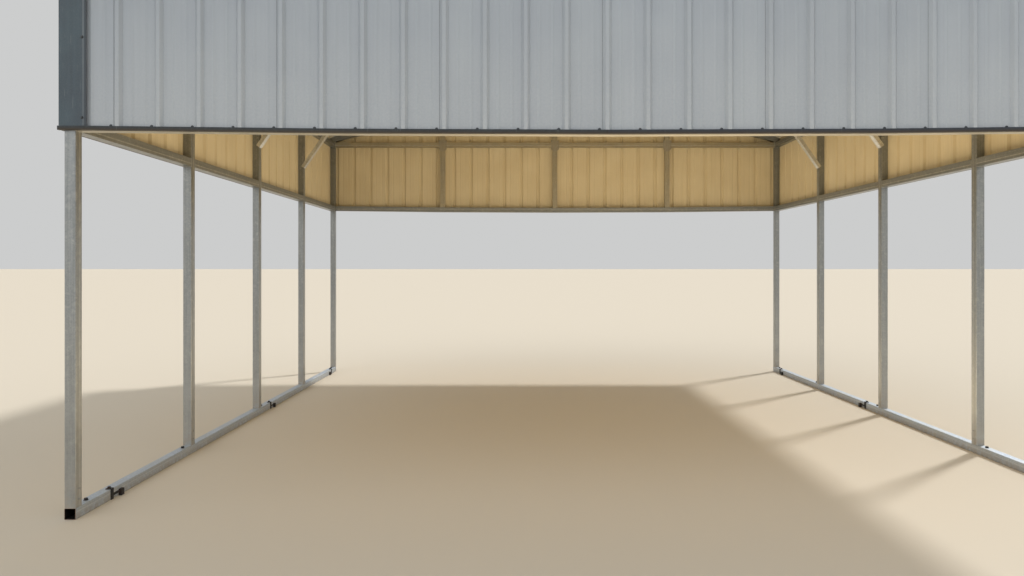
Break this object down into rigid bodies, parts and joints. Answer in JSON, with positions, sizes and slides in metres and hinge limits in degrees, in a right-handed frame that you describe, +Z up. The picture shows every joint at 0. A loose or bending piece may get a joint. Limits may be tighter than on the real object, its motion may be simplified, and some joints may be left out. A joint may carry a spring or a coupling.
{
  "type": "carport",
  "caption": "Open steel carport: square-tube frames on ground rails, a gabled roof of ribbed sheet and a skirt of the same sheet around all four sides.",
  "frame": {"origin": "on the ground, at the middle of the plan", "axes": "+Z up, +X to the right seen from the front, +Y to the back, along the ridge"},
  "size_m": [6.4228, 6.4218, 3.9863],
  "materials": {
    "tube": "galvanized, spangled, satin",
    "sheet": "baked paint, satin",
    "trim": "baked paint, satin",
    "anchor": "black paint, dull"
  },
  "bodies": {
    "root": {"back_bottom_trim": "trim", "back_gable_sheet": "sheet", "back_girt": "tube", "back_left_corner_trim": "trim", "back_rake_trim": "trim", "back_right_corner_trim": "trim", "base_rail_left": "tube", "base_rail_right": "tube", "eave_girts": "tube", "front_bottom_trim": "trim", "front_gable_sheet": "sheet", "front_girt": "tube", "front_left_corner_trim": "trim", "front_rake_trim": "trim", "front_right_corner_trim": "trim", "gable_headers": "tube", "gable_uprights": "tube", "ground_anchors": "anchor", "knee_braces": "tube", "left_bottom_trim": "trim", "left_post_1": "tube", "left_post_2": "tube", "left_post_3": "tube", "left_post_4": "tube", "left_post_5": "tube", "left_roof_sheet": "sheet", "left_side_sheet": "sheet", "peak_braces": "tube", "post_sleeves": "tube", "ridge_cap": "trim", "right_bottom_trim": "trim", "right_post_1": "tube", "right_post_2": "tube", "right_post_3": "tube", "right_post_4": "tube", "right_post_5": "tube", "right_roof_sheet": "sheet", "right_side_sheet": "sheet", "roof_bow_1": "tube", "roof_bow_2": "tube", "roof_bow_3": "tube", "roof_bow_4": "tube", "roof_bow_5": "tube", "roof_channels": "tube", "side_girts": "tube"}
  },
  "joints": []
}
